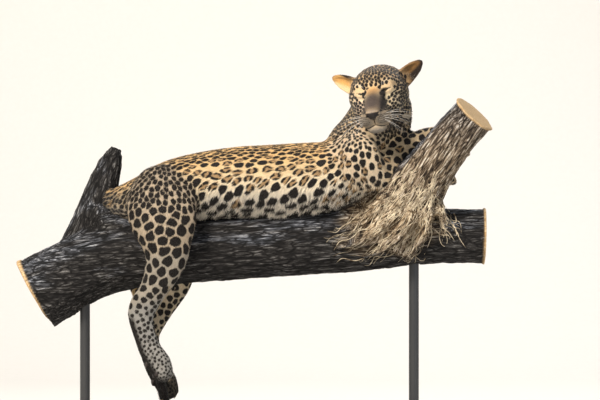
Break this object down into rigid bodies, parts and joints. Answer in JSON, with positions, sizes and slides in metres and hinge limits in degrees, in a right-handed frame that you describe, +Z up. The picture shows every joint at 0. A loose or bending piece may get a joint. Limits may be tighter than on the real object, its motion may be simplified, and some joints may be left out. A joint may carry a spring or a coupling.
{
  "type": "leopard display model",
  "caption": "Life-size still leopard resting astride a cut tree branch, hind legs hanging, head up and turned to the side, on a flat base with upright rods.",
  "frame": {"origin": "centre of the stand base's underside, on the floor", "axes": "+Z up, +X along the branch towards the leopard's head end, +Y towards the leopard's left side; its face looks towards -Y"},
  "size_m": [1.2304, 0.44, 0.993],
  "materials": {
    "fur": "short golden coat with dark rosettes and spots",
    "eye": "wet gloss",
    "bark": "rough fissured bark with pale sawn ends",
    "painted_board": "satin dark paint",
    "painted_steel": "satin dark paint"
  },
  "bodies": {
    "root": {"torso": "fur", "neck": "fur", "head": "fur", "ear_left": "fur", "ear_right": "fur", "eye_left": "eye", "eye_right": "eye", "fore_left_upper": "fur", "fore_left_lower": "fur", "fore_left_paw": "fur", "fore_right_upper": "fur", "fore_right_lower": "fur", "fore_right_paw": "fur", "hind_left_thigh": "fur", "hind_left_shin": "fur", "hind_left_foot": "fur", "hind_right_thigh": "fur", "hind_right_shin": "fur", "hind_right_foot": "fur", "tail_root": "fur", "tail_middle": "fur", "tail_tip": "fur", "perch_branch": "bark", "perch_fork": "bark", "perch_stub": "bark", "stand_base": "painted_board", "stand_rod_1": "painted_steel", "stand_rod_2": "painted_steel"}
  },
  "joints": []
}
